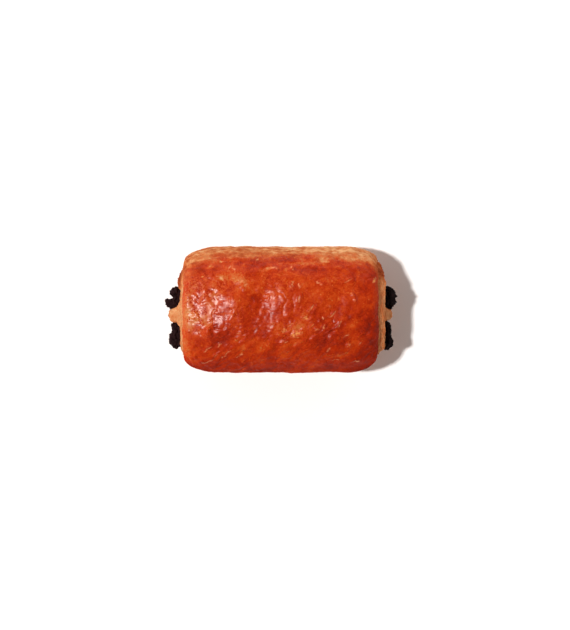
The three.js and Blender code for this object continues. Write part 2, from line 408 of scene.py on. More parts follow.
# Smooth wrinkles and small blisters that catch the light: x, y, length, heading, half-width, height.
WRINKLES = [
    (-47.4, 4.5, 11.0, 84, 1.8, 0.50),
    (-41.5, -4.5, 11.0, -48, 1.1, 0.48),
    (-36.0, -9.6, 9.0, 22, 1.2, 0.55),
    (-36.5, 3.6, 10.0, -56, 1.3, 0.42),
    (-30.0, 1.0, 8.0, 74, 1.5, 0.45),
    (-40.0, 13.2, 8.0, -50, 1.0, 0.36),
    (-31.4, 9.6, 7.0, -32, 1.1, 0.38),
    (-24.6, -3.6, 7.0, 78, 1.4, 0.50),
    (-37.2, -11.4, 6.0, 78, 1.8, 0.55),
    (-19.0, 11.0, 5.0, -62, 0.9, 0.45),
    (-10.4, 10.5, 6.0, 82, 1.1, 0.38),
    (-6.6, 4.2, 8.0, 66, 1.3, 0.34),
    (-11.4, -6.0, 6.0, 48, 1.0, 0.26),
    (9.8, 6.5, 5.5, 86, 0.8, 0.42),
    (9.6, 11.6, 4.0, -60, 0.8, 0.34),
    (5.1, 10.9, 4.5, -76, 0.6, 0.28),
    (10.4, 0.6, 2.8, 60, 0.5, 0.22),
    (17.4, 0.0, 6.5, 54, 0.8, 0.42),
    (24.4, 1.6, 2.6, -50, 0.6, 0.28),
    (27.0, -1.0, 5.0, 46, 0.7, 0.32),
    (29.5, -7.5, 4.8, 70, 0.5, 0.24),
    (22.0, -8.5, 3.4, 78, 0.5, 0.24),
    (20.0, -5.0, 3.0, 50, 0.5, 0.22),
    (31.4, -12.4, 4.0, 34, 0.6, 0.26),
    (34.2, -17.8, 3.6, 38, 0.6, 0.28),
    (40.4, -17.0, 2.6, 60, 0.6, 0.26),
    (36.8, 6.8, 2.8, -50, 0.8, 0.44),
    (38.0, 4.2, 2.6, -58, 0.7, 0.36),
    (2.4, -16.0, 7.0, 30, 1.0, 0.26),
    (22.0, -16.8, 8.0, 36, 1.0, 0.30),
    (34.0, -19.0, 7.0, 34, 0.9, 0.26),
    (12.0, -21.6, 8.0, 28, 0.9, 0.24),
]

# Broad swells and hollows: x, y, half-length, half-width, heading, height.
SWELLS = [
    (-23.0, 2.0, 17.0, 7.5, 78, 0.95),
    (-9.0, 6.0, 11.0, 5.2, 82, -1.00),
    (1.6, 12.0, 12.0, 8.0, 76, 0.36),
    (-29.0, -16.5, 12.0, 4.2, 24, -0.75),
    (-36.4, -12.0, 5.0, 3.4, 62, 0.55),
    (-38.0, -23.0, 8.0, 4.0, 28, 0.45),
    (27.0, 2.0, 12.0, 5.0, 70, -0.45),
    (36.0, 6.0, 9.0, 5.0, 80, 0.15),
    (4.0, -17.0, 20.0, 5.0, 4, 0.30),
    (-18.0, 22.5, 15.0, 4.0, -2, -0.35),
    (22.0, 20.0, 18.0, 3.6, -8, -0.45),
    (43.0, 17.0, 6.0, 4.0, 60, -0.50),
]


def crease_fields(p):
    """How much each point of the crust is on one of the listed creases, torn ones and painted glint
    strokes alike, on a wide one, and on a raised lip.
    """
    tear_and_glint = np.zeros(len(p))
    wide = np.zeros(len(p))
    lip = np.zeros(len(p))
    wobble = 0.7 * noise(p, 2.6, seed=71) + 0.5 * noise(p, 1.2, seed=72)
    broken = smooth(noise(p, 1.1, seed=73), -0.6, 0.3)
    for x, y, length, heading, bend, half_width in PALE_CREASES_AND_GLINTS:
        v, u = along_crease(p, x, y, length, heading, bend)
        ends = np.clip(1 - u * u, 0, 1)
        width = 1.35 * half_width * ends**0.6 + 0.04
        here = bell(v + wobble, width) * smooth(ends, 0, 0.35) * broken
        tear_and_glint = np.maximum(tear_and_glint, here)
        wide = np.maximum(wide, here * (half_width > 0.4))
        lip = np.maximum(lip, bell(v - 0.6 + wobble, 0.5) * smooth(ends, 0, 0.5))
    top = p[:, 2] > COIL_Z
    return tear_and_glint * top, wide * top, lip * top


def glaze_patch(p):
    """Where the glazed skin has wrinkled most, from 0 to 1."""
    left = bell(np.hypot((p[:, 0] + 40) / 16, (p[:, 1] - 2) / 16), 1.0)
    left *= 1 - 0.8 * bell(np.hypot((p[:, 0] + 28) / 9, (p[:, 1] + 12) / 5), 1.0)
    middle = bell(np.hypot((p[:, 0] + 2) / 8, (p[:, 1] - 9) / 11), 1.0)
    return np.maximum(left, 0.4 * middle)


def along_streaks(p):
    """Points turned in plan, so that X runs along the crust's slanting streaks."""
    heading = math.radians(STREAK_HEADING)
    c, s = math.cos(heading), math.sin(heading)
    return np.stack([p[:, 0] * c + p[:, 1] * s, p[:, 1] * c - p[:, 0] * s, p[:, 2] * 0.5], -1)


def swell_relief(p):
    """The broad swells and hollows."""
    relief = np.zeros(len(p))
    for x, y, half_length, half_width, heading, height in SWELLS:
        v, u = along_crease(p, x, y, 2 * half_length, heading)
        relief += height * np.exp(-((v / half_width) ** 2) - u**2)
    return relief


def wrinkle_relief(bent):
    """The single wrinkles that catch the light."""
    relief = np.zeros(len(bent))
    for x, y, length, heading, half_width, height in WRINKLES:
        v, u = along_crease(bent, x, y, length, heading)
        relief += height * bell(v, half_width) * np.clip(1 - u * u, 0, 1) ** 0.7
    return relief


def creep_relief(p, bent, patch):
    """The fine, sharp-crested wrinkles of skin that crept, and the sharp creases across them."""
    strength = np.clip(0.5 + 0.5 * smooth(noise(p, 11.0, seed=21), -0.2, 0.5) + 0.7 * patch, 0, 1.3)
    creep = 1 - np.abs(noise(bent, 4.4, seed=31)) * 2.4
    fine = 1 - np.abs(noise(bent + 0.5 * bent[:, [1, 2, 0]], 2.2, seed=32)) * 2.2
    crease = np.clip(1 - np.abs(noise(bent, 7.5, seed=33)) / 0.10, 0, 1)
    creased = smooth(noise(p, 9.0, seed=34) + 0.5 * patch, -0.1, 0.35)
    return strength * (0.09 * creep + 0.035 * fine) - 0.30 * crease * creased


def streak_relief(p, bent):
    """The slanting ridges across the front half of the top, where the dough stretched as it rose."""
    streak = 1 - np.abs(noise(along_streaks(bent) * [0.3, 1, 1], 2.4, seed=35)) * 2.2
    streaky = smooth(-p[:, 1], 2, 14) * smooth(noise(p, 12.0, seed=36), -0.5, 0.4)
    return 0.48 * streak * streaky


def blister_relief(p, bent, patch):
    """The round blisters, and the pimples between them."""
    distance, luck = nearest_cell(bent, 5.2, seed=41)
    blister = np.clip(1 - (distance / (0.26 + 0.24 * luck)) ** 2, 0, 1) ** 0.7
    small, luck_small = nearest_cell(p, 2.6, seed=43)
    pimple = np.clip(1 - (small / 0.28) ** 2, 0, 1) * (luck_small > 0.5)
    return 0.26 * blister * (0.6 + 0.4 * patch) + 0.20 * pimple


def flake_relief(p):
    """The flakes that lift along the rear edge of the glaze."""
    shelf = noise(p * [0.25, 1, 1], 2.6, seed=38)
    flakes = 0.36 * shelf + (0.30 * noise(p, 1.9, seed=39) + 0.16 * noise(p, 1.05, seed=40))
    return flakes * bell(p[:, 1] - FLAKES_Y, 4.5)


def flank_relief(p):
    """The long layers of the flanks."""
    layers = noise(p * [0.12, 0.5, 1] + 0.25 * noise(p, 9.0, seed=47)[:, None], 1.9, seed=45)
    return 0.26 * layers + 0.22 * noise(p * [0.5, 1, 1], 3.4, seed=48) + 0.10 * noise(p, 1.2, seed=46)


def crust_relief(p):
    """Height in millimetres of all the crust's relief at each point."""
    top = smooth(p[:, 2], 20, 32)
    patch = glaze_patch(p)
    bent = p + 1.2 * np.stack([noise(p, 4.2, seed) for seed in (11, 12, 13)], -1)
    broad = 0.45 * noise(p * [1, 1, 0.7], 16.0, seed=3) + 0.34 * noise(p, 8.5, seed=4)
    broad += 0.20 * noise(p, 4.6, seed=5)
    on_top = swell_relief(p) + wrinkle_relief(bent) + creep_relief(p, bent, patch)
    on_top += streak_relief(p, bent) + blister_relief(p, bent, patch)
    uneven = (0.19 - 0.14 * patch) * layered_noise(p, 2.0, 2, seed=51)
    return broad + top * on_top + (1 - top) * flank_relief(p) + flake_relief(p) + uneven


# ---- Meshes ----


def grid_faces(rings, around):
    """Quads of a tube of rings, with the last point of each ring joined to its first."""
    r, k = np.meshgrid(np.arange(rings - 1), np.arange(around), indexing="ij")
    k2 = (k + 1) % around
    return np.stack(
        [r * around + k, r * around + k2, (r + 1) * around + k2, (r + 1) * around + k], -1
    ).reshape(-1, 4)


def mesh_object(name, points, faces):
    """A smooth-shaded mesh object in metres. A face that repeats a point loses the copy."""
    faces = [list(dict.fromkeys(face)) for face in faces]
    mesh = bpy.data.meshes.new(name)
    mesh.from_pydata((points * MM).tolist(), [], [face for face in faces if len(face) > 2])
    mesh.polygons.foreach_set("use_smooth", np.ones(len(mesh.polygons), bool))
    mesh.update()
    piece = bpy.data.objects.new(name, mesh)
    bpy.context.scene.collection.objects.link(piece)
    return piece


def set_fields(piece, fields):
    """Gives each point of a piece the numbers that its material reads."""
    for name, values in fields.items():
        layer = piece.data.attributes.new(name, "FLOAT", "POINT")
        layer.data.foreach_set("value", np.asarray(values, np.float32).ravel())


def grid_normals(points):
    """Outward unit normals of a (rings, around, 3) grid."""
    along = np.gradient(points, axis=0)
    around = np.roll(points, -1, axis=1) - np.roll(points, 1, axis=1)
    normal = np.cross(around, along)
    return normal / np.maximum(np.linalg.norm(normal, axis=-1, keepdims=True), 1e-9)


def underside_lift(points):
    """How far the underside stands off the tray: its faint puckers, and the seam pressed along it."""
    seam_y = crust_profile(np.array([SEAM_ANGLE]))[0][0]
    pucker = 0.14 + 0.14 * noise(points, 7.0, seed=61) + 0.08 * noise(points * [0.4, 1, 1], 2.0, seed=62)
    groove = 0.9 * bell(points[..., 1] - seam_y + 0.8 * noise(points * [1, 0, 0], 9.0, seed=63), 0.8)
    return (np.clip(pucker, 0, 1) + groove) * smooth(-points[..., 2], -1.5, 0)


def ragged_rims(body):
    """How far each flake of the crust ends from the plain cut edge, fading away from the edge."""
    to_rim = smooth(5 - (CRUST_HALF - np.abs(body[..., 0])), 0, 5)
    at_rim = body * [0.15, 1, 1] + np.sign(body[..., :1]) * 40
    ragged = 0.9 * noise(at_rim, 9.0, seed=52) + 0.5 * noise(at_rim, 2.6, seed=53)
    ragged += 0.35 * noise(at_rim, 1.1, seed=54)
    return ragged * to_rim * 0.6


def body_rings(angle):
    """The crust's rings with their relief, and where they are torn and where glint strokes are painted,
    along the roll and round it.
    """
    body = np.stack([crust_ring(x, angle) for x in body_stations()])
    outward = grid_normals(body)
    flat = body.reshape(-1, 3)
    tear_and_glint, wide, lip = crease_fields(flat)
    relief = (crust_relief(flat) + (0.34 * lip - 0.14 * tear_and_glint)).reshape(body.shape[:2])
    body[..., 0] += np.sign(body[..., 0]) * ragged_rims(body)
    # The relief fades where the tray pressed the dough flat, and a little towards the rims.
    tray = smooth(body[..., 2], 0.0, 5.0)
    rim = smooth(CRUST_HALF - np.abs(body[..., 0]), -0.2, 2.0)
    body = body + outward * (relief * tray * lerp(0.35, 1, rim))[..., None]
    body[..., 2] = np.maximum(body[..., 2], 0) + underside_lift(body)
    return body, {"tear_and_glint": tear_and_glint.reshape(relief.shape), "wide": wide.reshape(relief.shape)}


def end_rings(side, rim, angle, depths):
    """A cut end's rings from the rim inwards, and each ring's gap, proud and cut fields."""
    shift = rim - crust_ring(side * CRUST_HALF, angle)
    rings, fields = [], []
    for depth in depths:
        ring, gap, proud = cut_face(side, depth, angle)
        # The face joins the crust's displaced rim and eases back to its own place.
        rings.append(ring + shift * (1 - smooth(min(depth, 1.0), 0, 0.35)))
        fields.append([gap, proud, np.full_like(gap, min(1.0, depth / 0.03))])
    return rings, fields


def pastry_points():
    """The pastry's points as rings, with the fields that its material reads."""
    angle = even_angles(AROUND)
    depths = np.concatenate([
        np.linspace(0, 1, FACE_RINGS + 1)[1:] ** 1.15,
        1 + np.linspace(0, 1, CORE_RINGS + 1)[1:],
    ])
    body, creases = body_rings(angle)
    left, left_fields = end_rings(-1, body[0], angle, depths)
    right, right_fields = end_rings(1, body[-1], angle, depths)
    uncut = np.zeros((len(body), 3, AROUND))
    rings = np.stack([*left[::-1], *body, *right])
    gap, proud, cut = np.stack([*left_fields[::-1], *uncut, *right_fields], axis=1)
    fields = {"gap": gap, "proud": proud, "cut": cut}
    for name, values in creases.items():
        fields[name] = np.pad(values, ((len(left), len(right)), (0, 0)))
    return rings, fields


def zip_ends(quads, rings, around):
    """Closes the first and last rings, whose point k lies on point around - k, by sharing points."""
    share = np.arange(rings * around)
    for first in (0, (rings - 1) * around):
        k = np.arange(around)
        share[first + k] = first + np.minimum(k, (around - k) % around)
    return share[quads]


def without_loose_points(piece):
    """Removes the points that no face uses."""
    mesh = bmesh.new()
    mesh.from_mesh(piece.data)
    bmesh.ops.delete(mesh, geom=[v for v in mesh.verts if not v.link_faces], context="VERTS")
    mesh.to_mesh(piece.data)
    mesh.free()
    return piece


def build_pastry():
    """The whole pastry before its tunnels are cut."""
    points, fields = pastry_points()
    rings = len(points)
    flat = points.reshape(-1, 3)
    quads = zip_ends(grid_faces(rings, AROUND)[:, ::-1], rings, AROUND)
    piece = mesh_object("pastry_crust", flat, quads.tolist())
    set_fields(piece, fields)
    return without_loose_points(piece)


# ---- The batons ----

# Each nugget's outline is seen from above: across the baton from its middle, and how far it reaches.
BATONS = {
    "chocolate_baton_rear": {
        "y": 6.0,
        "width": 11.4,
        "left": {"reach": 59.8, "width": 11.8, "thickness": 7.4, "outline": [
            (-5.9, 58.6), (-4.6, 59.7), (-1.2, 59.6), (-0.4, 56.0),
            (0.9, 55.6), (1.8, 57.0), (4.6, 57.2), (5.9, 55.6),
        ]},
        "right": {"reach": 59.8, "width": 12.2, "thickness": 8.2, "outline": [
            (-6.1, 58.2), (-3.0, 59.6), (1.0, 59.8), (4.5, 59.0), (6.1, 57.2),
        ]},
    },
    "chocolate_baton_front": {
        "y": -13.3,
        "width": 12.2,
        "left": {"reach": 57.8, "width": 13.2, "thickness": 7.2, "outline": [
            (-6.6, 55.4), (-5.0, 57.2), (-2.0, 57.8), (0.5, 57.6), (2.2, 56.9), (6.6, 56.8),
        ]},
        "right": {"reach": 58.2, "width": 15.6, "thickness": 6.8, "outline": [
            (-7.8, 57.0), (-5.5, 58.2), (-2.5, 58.1), (-0.2, 57.0),
            (3.0, 57.0), (6.0, 57.3), (7.8, 56.2),
        ]},
    },
}


def baton_ring(baton, side, out, around, grow=0.0):
    """The CAD baton's ring: out is 0 where it leaves the dough and 1 at its tip."""
    end = baton["right" if side > 0 else "left"]
    angle = np.arange(around) / around * TAU
    swell = smooth(out, -0.05, 0.3)
    round_off = max(0.0, 1 - (max(0.0, out - 0.5) / 0.5) ** 3.0) ** 0.5
    width = lerp(baton["width"], end["width"], swell) * round_off + 2 * grow
    thick = lerp(BATON_THICKNESS, end["thickness"], swell) * round_off + 2 * grow
    x = np.full(around, side * lerp(MOUTH, end["reach"] + grow, out))
    y = baton["y"] + width / 2 * signed_power(np.cos(angle), BATON_ROUNDNESS)
    z = CORE_Z + thick / 2 * signed_power(np.sin(angle), BATON_ROUNDNESS)
    return np.stack([x, y, z], -1)


def baton_grid(baton, steps, around, grow=0.0):
    """The baton's rings from its left tip to its right one."""
    left = [baton_ring(baton, -1, t, around, grow) for t in steps[::-1]]
    right = [baton_ring(baton, 1, t, around, grow) for t in steps]
    return np.stack(left + right)


def closed_tube(rings, around):
    """The faces of a tube of rings that is closed at both ends."""
    first = list(range(around))
    last = list(range(rings * around - 1, (rings - 1) * around - 1, -1))
    return [*grid_faces(rings, around)[:, ::-1].tolist(), first, last]


def tunnel_cutter(name):
    """A plain, slightly larger baton, which cuts the tunnel that the real one lies in."""
    steps = [-0.1, 0.0, 0.12, 0.3, 0.5, 0.7, 0.85, 0.95, 0.999]
    points = baton_grid(BATONS[name], steps, TUNNEL_AROUND, TUNNEL_GAP)
    faces = closed_tube(len(points), TUNNEL_AROUND)
    return mesh_object(name + "_tunnel", points.reshape(-1, 3), faces)


def follow_outlines(points, baton):
    """Ends each nugget along its own outline, as seen from above."""
    for side, label in ((-1, "left"), (1, "right")):
        y, reach = np.array(baton[label]["outline"]).T
        here = points[..., 0] * side > MOUTH
        local = np.interp(points[..., 1] - baton["y"], y, reach)
        share = (local - MOUTH) / (baton[label]["reach"] - MOUTH)
        x = side * (MOUTH + (np.abs(points[..., 0]) - MOUTH) * share)
        points[..., 0] = np.where(here, x, points[..., 0])


def hold_back(points):
    """Leaves some lumps of the melted ends further back than others."""
    tip = smooth(np.abs(points[..., 0]), MOUTH + 1.5, MOUTH + 5.0)
    held_back = 0.9 * np.clip(noise(points * [0.3, 1, 1], 3.6, seed=106), 0, 1)
    held_back += 0.8 * smooth(np.abs(points[..., 2] - CORE_Z), 1.5, 4.0)
    points[..., 0] -= np.sign(points[..., 0]) * held_back * tip


def scorched_relief(flat):
    """Height in millimetres of the lumps, pits and grains of the melted ends, outside the dough."""
    lumps = 0.8 * noise(flat, 3.1, seed=101) + 0.8 * noise(flat, 1.6, seed=102)
    lumps += 0.5 * layered_noise(flat, 0.9, 2, seed=103)
    pit, _ = nearest_cell(flat, 1.5, seed=104)
    grain, _ = nearest_cell(flat, 0.75, seed=105)
    relief = lumps - 0.6 * np.clip(1 - pit / 0.42, 0, 1) + 0.25 * np.clip(1 - grain / 0.5, 0, 1)
    outside = smooth(np.abs(flat[:, 0]), MOUTH - 0.6, MOUTH + 1.2)
    return (relief - 0.15) * outside


def build_baton(name):
    """A baton with its scorched, crumbly nuggets."""
    steps = np.concatenate([[-0.06], np.linspace(0, 1, NUGGET_RINGS) ** 0.9 * 0.9995])
    points = baton_grid(BATONS[name], steps, BATON_AROUND)
    follow_outlines(points, BATONS[name])
    hold_back(points)
    flat = points.reshape(-1, 3)
    flat = flat + grid_normals(points).reshape(-1, 3) * scorched_relief(flat)[:, None]
    faces = closed_tube(len(points), BATON_AROUND)
    piece = mesh_object(name.replace("chocolate_", "scorched_"), flat, faces)
    # Marks the nuggets for painted shade, strongest at the right end.
    set_fields(piece, {"right_end_shade": smooth(flat[:, 0], -50, 50)})
    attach(piece, "root")
    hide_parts(name)
    return piece


# ---- Materials ----


class Nodes:
    """A node tree, built by calls that each add a node and return its output socket."""

    def __init__(self, owner):
        owner.use_nodes = True
        self.owner = owner
        self.tree = owner.node_tree

    def put(self, socket, value):
        if isinstance(value, bpy.types.NodeSocket):
            self.tree.links.new(value, socket)
        else:
            socket.default_value = value

    def add(self, kind, output=0, settings=None, **inputs):
        node = self.tree.nodes.new(kind)
        for key, value in (settings or {}).items():
            setattr(node, key, value)
        for key, value in inputs.items():
            self.put(node.inputs[key.replace("_", " ")], value)
        return node.outputs[output]

    def attribute(self, name):
        return self.add("ShaderNodeAttribute", "Fac", {"attribute_name": name})

    def place(self):
        return self.add("ShaderNodeTexCoord", "Object")

    def drawn_out(self, heading, times):
        """Positions squeezed along a heading in plan, so that a texture is drawn out along it."""
        return self.add(
            "ShaderNodeMapping", 0, {"vector_type": "TEXTURE"}, Vector=self.place(),
            Rotation=(0, 0, math.radians(heading)), Scale=(times, 1, 1),
        )

    def noise(self, size_mm, detail=2.0, roughness=0.5, distortion=0.0, at=None):
        return self.add(
            "ShaderNodeTexNoise", "Fac", Vector=at or self.place(), Scale=1 / (size_mm * MM),
            Detail=detail, Roughness=roughness, Distortion=distortion,
        )

    def lines(self, texture, half_width):
        """1 along the lines where a noise crosses its middle value, and 0 away from them."""
        from_line = self.math("ABSOLUTE", self.math("SUBTRACT", texture, 0.5))
        return self.spread(from_line, 0, half_width, 1.0, 0.0)

    def centred(self, texture, strength):
        """A noise taken about its middle value, times a strength."""
        return self.math("MULTIPLY", self.math("SUBTRACT", texture, 0.5), strength)

    def from_spots(self, size_mm):
        """Distance from scattered spots, as a share of their spacing."""
        scale = 1 / (size_mm * MM)
        return self.add("ShaderNodeTexVoronoi", "Distance", Vector=self.place(), Scale=scale)

    def math(self, operation, a, b=0.0):
        node = self.tree.nodes.new("ShaderNodeMath")
        node.operation = operation
        self.put(node.inputs[0], a)
        self.put(node.inputs[1], b)
        return node.outputs[0]

    def spread(self, value, low, high, to_low=0.0, to_high=1.0):
        """value mapped from low..high to to_low..to_high, and held there."""
        return self.add(
            "ShaderNodeMapRange", 0, {"interpolation_type": "SMOOTHSTEP"}, Value=value,
            From_Min=low, From_Max=high, To_Min=to_low, To_Max=to_high,
        )

    def mix(self, share, a, b):
        node = self.tree.nodes.new("ShaderNodeMix")
        node.data_type = "RGBA"
        self.put(node.inputs[0], share)
        self.put(node.inputs[6], a)
        self.put(node.inputs[7], b)
        return node.outputs[2]

    def ramp(self, value, stops):
        node = self.tree.nodes.new("ShaderNodeValToRGB")
        elements = node.color_ramp.elements
        while len(elements) < len(stops):
            elements.new(0.5)
        for element, (place, colour) in zip(elements, stops, strict=True):
            element.position = place
            element.color = (*colour, 1)
        self.put(node.inputs[0], value)
        return node.outputs[0]

    def bump(self, height, depth_mm, normal=None):
        node = self.tree.nodes.new("ShaderNodeBump")
        node.inputs["Distance"].default_value = depth_mm * MM
        node.inputs["Strength"].default_value = 1.0
        self.put(node.inputs["Height"], height)
        if normal is not None:
            self.put(node.inputs["Normal"], normal)
        return node.outputs[0]

    def shade(self, **inputs):
        """Sets a material's own shader, and returns the material."""
        shader = self.tree.nodes["Principled BSDF"]
        for key, value in inputs.items():
            self.put(shader.inputs[key.replace("_", " ")], value)
        return self.owner


# The egg-washed crust, from pale to mahogany, as it browns.
GLAZED_BROWNING = [
    (0.00, (0.72, 0.40, 0.18)),
    (0.15, (0.56, 0.24, 0.092)),
    (0.28, (0.50, 0.125, 0.030)),
    (0.40, (0.46, 0.046, 0.0040)),
    (0.52, (0.355, 0.021, 0.0015)),
    (0.66, (0.24, 0.0115, 0.0016)),
    (0.82, (0.145, 0.009, 0.0035)),
    (1.00, (0.065, 0.008, 0.005)),
]

# The bare dough browns less red.
BARE_BROWNING = [
    (0.00, (0.70, 0.40, 0.19)),
    (0.15, (0.57, 0.275, 0.125)),
    (0.28, (0.49, 0.165, 0.058)),
    (0.42, (0.37, 0.085, 0.026)),
    (0.60, (0.24, 0.040, 0.010)),
    (0.80, (0.13, 0.018, 0.006)),
    (1.00, (0.06, 0.010, 0.005)),
]

# Torn dough, thin and wide, where the thin colour also paints glint strokes; the painted shade in the
# gaps between leaves; and the scorched chocolate, with the black of its painted shade.
OPENED_DOUGH_AND_GLINT = (0.77, 0.30, 0.135, 1)
GOLDEN_DOUGH = (0.84, 0.34, 0.075, 1)
PAINTED_GAP_SHADE = (0.34, 0.10, 0.025, 1)
SCORCHED_COLOURS = [(0.3, (0.007, 0.0028, 0.0030)), (0.7, (0.028, 0.0112, 0.0125))]
# The black of the painted shade on the right-hand nuggets.
PAINTED_SHADE_BLACK = (0.004, 0.0028, 0.0030, 1)


def glaze_crackle(n):
    """The hair-fine crackle of the pooled glaze, darkened in colour as painted shade in its cracks."""
    crackle = n.lines(n.noise(2.6, 3, 0.6, 0.7), 0.06)
    crackle = n.math("MULTIPLY", crackle, n.spread(n.noise(5.0), 0.38, 0.50))
    return n.math("MULTIPLY", crackle, n.attribute("pooled"))


def pale_streaks(n):
    """The short pale streaks of the stretched skin, whose paler colour is partly a painted highlight on
    their lips.
    """
    streak = n.lines(n.noise(2.8, 1, 0.5, 0.0, n.drawn_out(STREAK_HEADING, 3.2)), 0.05)
    streak = n.math("MULTIPLY", streak, n.spread(n.noise(4.2, 2, 0.5, 0.3), 0.50, 0.62))
    return n.math("MULTIPLY", streak, n.attribute("stretched_and_glinting"))


def dough_colour(n, speckle, crackle, streak):
    """The browned dough, paler where it is torn and on the painted glint strokes, with painted shade
    darkening the gaps between its leaves and the crackle, and painted highlights paling the streaks and
    pin-prick dots.
    """
    brown_and_shade = n.math("ADD", n.attribute("bake_and_shade"), n.centred(n.noise(6.0, 5, 0.6, 0.8), 0.42))
    brown_and_shade = n.math("ADD", brown_and_shade, n.centred(speckle, 0.30))
    # Painted shade darkens the crackle's cracks.
    brown_and_shade = n.math("ADD", brown_and_shade, n.math("MULTIPLY", crackle, 0.18))
    # The streaks are paler, partly from real stretching and partly as a painted highlight.
    brown_and_shade = n.math("SUBTRACT", brown_and_shade, n.math("MULTIPLY", streak, 0.12))
    # Small pale dots are painted highlights on pin-prick blisters.
    brown_and_shade = n.math("SUBTRACT", brown_and_shade, n.spread(n.from_spots(2.6), 0.05, 0.16, 0.14, 0.0))
    bare = n.ramp(brown_and_shade, BARE_BROWNING)
    colour = n.mix(n.attribute("washed"), bare, n.ramp(brown_and_shade, GLAZED_BROWNING))
    # Thin tears and the painted glint strokes take the opened colour.
    opened = n.mix(n.attribute("wide"), OPENED_DOUGH_AND_GLINT, GOLDEN_DOUGH)
    colour = n.mix(n.math("MULTIPLY", n.attribute("tear_and_glint"), 0.80), colour, opened)
    # Painted shade darkens the gaps between the leaves.
    return n.mix(n.math("MULTIPLY", n.attribute("gap"), 0.35), colour, PAINTED_GAP_SHADE)


def dough_material():
    """The baked dough, shiny where the egg wash lies thick."""
    n = Nodes(bpy.data.materials.new("baked_dough"))
    speckle = n.noise(0.8, 3, 0.7)
    crackle = glaze_crackle(n)
    streak = pale_streaks(n)
    whole = n.math("SUBTRACT", 1.0, n.math("MULTIPLY", n.attribute("tear_and_glint"), 0.5))
    wet = n.math("MULTIPLY", n.attribute("gloss"), whole)
    roughness = n.math("ADD", n.spread(wet, 0, 1, 0.72, 0.36), n.centred(speckle, 0.14))
    skin = n.bump(n.math("SUBTRACT", n.math("MULTIPLY", streak, 2.6), crackle), 0.10)
    skin = n.bump(n.noise(1.3, 4, 0.6, 0.4), 0.08, skin)
    skin = n.bump(n.noise(0.4, 2, 0.5), 0.018, skin)
    uncrackled = n.math("SUBTRACT", 0.88, n.math("MULTIPLY", crackle, 0.80))
    return n.shade(
        Base_Color=dough_colour(n, speckle, crackle, streak), Roughness=roughness, Normal=skin, IOR=1.06,
        Coat_Weight=n.math("MULTIPLY", n.attribute("pooled"), uncrackled), Coat_Roughness=0.33,
        Coat_IOR=1.42, Subsurface_Weight=0.05, Subsurface_Scale=0.0015,
    )


def chocolate_material():
    """Dull, crumbly black, with painted shade blackening it towards the right end."""
    n = Nodes(bpy.data.materials.new("scorched_chocolate"))
    colour = n.ramp(n.noise(1.6, 4, 0.6), SCORCHED_COLOURS)
    # Painted shade blackens the chocolate towards the right end.
    colour = n.mix(n.math("MULTIPLY", n.attribute("right_end_shade"), 0.75), colour, PAINTED_SHADE_BLACK)
    grain = n.bump(n.noise(0.55, 4, 0.7), 0.22)
    return n.shade(Base_Color=colour, Roughness=0.8, Normal=grain, IOR=1.12)


# ---- Browning and glaze over the pastry ----

# Broad browning on the top, and some painted shade and light: x, y, half-width along X and Y, how much
# darker or, below 0, lighter. The darker zones in the hollow at (-14, 3), under the fold at (-30, -14.5)
# and at the right end's front (46, -14) are painted shade. The paler zones at the left end are painted
# light, and the one at (-40, -13) is a painted glint.
BROWNING_AND_PAINTED_LIGHT_ZONES = [
    (-14.0, 3.0, 5.0, 12.0, 0.08),
    (-30.0, -14.5, 9.0, 5.0, 0.03),
    (-40.0, -13.0, 3.5, 3.0, -0.12),
    (46.0, -14.0, 5.5, 14.0, 0.10),
    (46.0, 20.5, 3.4, 5.5, 0.13),
    (19.0, 0.0, 7.0, 6.0, -0.09),
    (22.0, -18.5, 8.0, 4.5, 0.07),
    (14.0, -10.5, 9.0, 4.0, -0.05),
    (-28.0, -12.5, 8.0, 4.0, 0.07),
    (-46.5, -17.0, 4.5, 9.0, -0.16),
    (-47.0, 4.0, 2.5, 8.0, -0.05),
    (-14.0, -23.5, 26.0, 4.0, -0.06),
    (-41.0, 19.5, 6.0, 3.5, 0.08),
    (-17.0, 23.2, 8.0, 2.6, 0.13),
    (7.0, 25.2, 9.0, 1.4, 0.10),
    (14.0, 20.8, 10.0, 1.7, 0.12),
    (31.0, 20.4, 8.0, 1.8, 0.10),
    (11.0, 23.2, 9.0, 0.9, -0.12),
    (-17.5, 13.0, 4.5, 3.0, -0.10),
    (-33.0, 15.5, 6.0, 3.0, -0.05),
    (-4.0, -19.0, 18.0, 5.5, -0.05),
    (-22.0, 15.0, 6.5, 3.6, -0.18),
    (-29.8, 15.6, 1.0, 1.0, -0.28),
    (4.0, -10.0, 9.0, 3.5, -0.09),
    (20.0, 10.0, 8.0, 6.0, -0.03),
    (-12.5, -6.5, 4.0, 5.0, -0.06),
    (47.0, -14.0, 3.0, 14.0, -0.04),
    (38.0, 27.0, 12.0, 3.2, -0.09),
    (14.0, 29.5, 10.0, 2.0, -0.08),
]


def field(piece, name, width=1):
    """A mesh attribute as an array with a row for each point."""
    values = np.empty(len(piece.data.vertices) * width)
    layer = piece.data.attributes[name].data
    layer.foreach_get("vector" if width == 3 else "value", values)
    return values.reshape(-1, width) if width > 1 else values


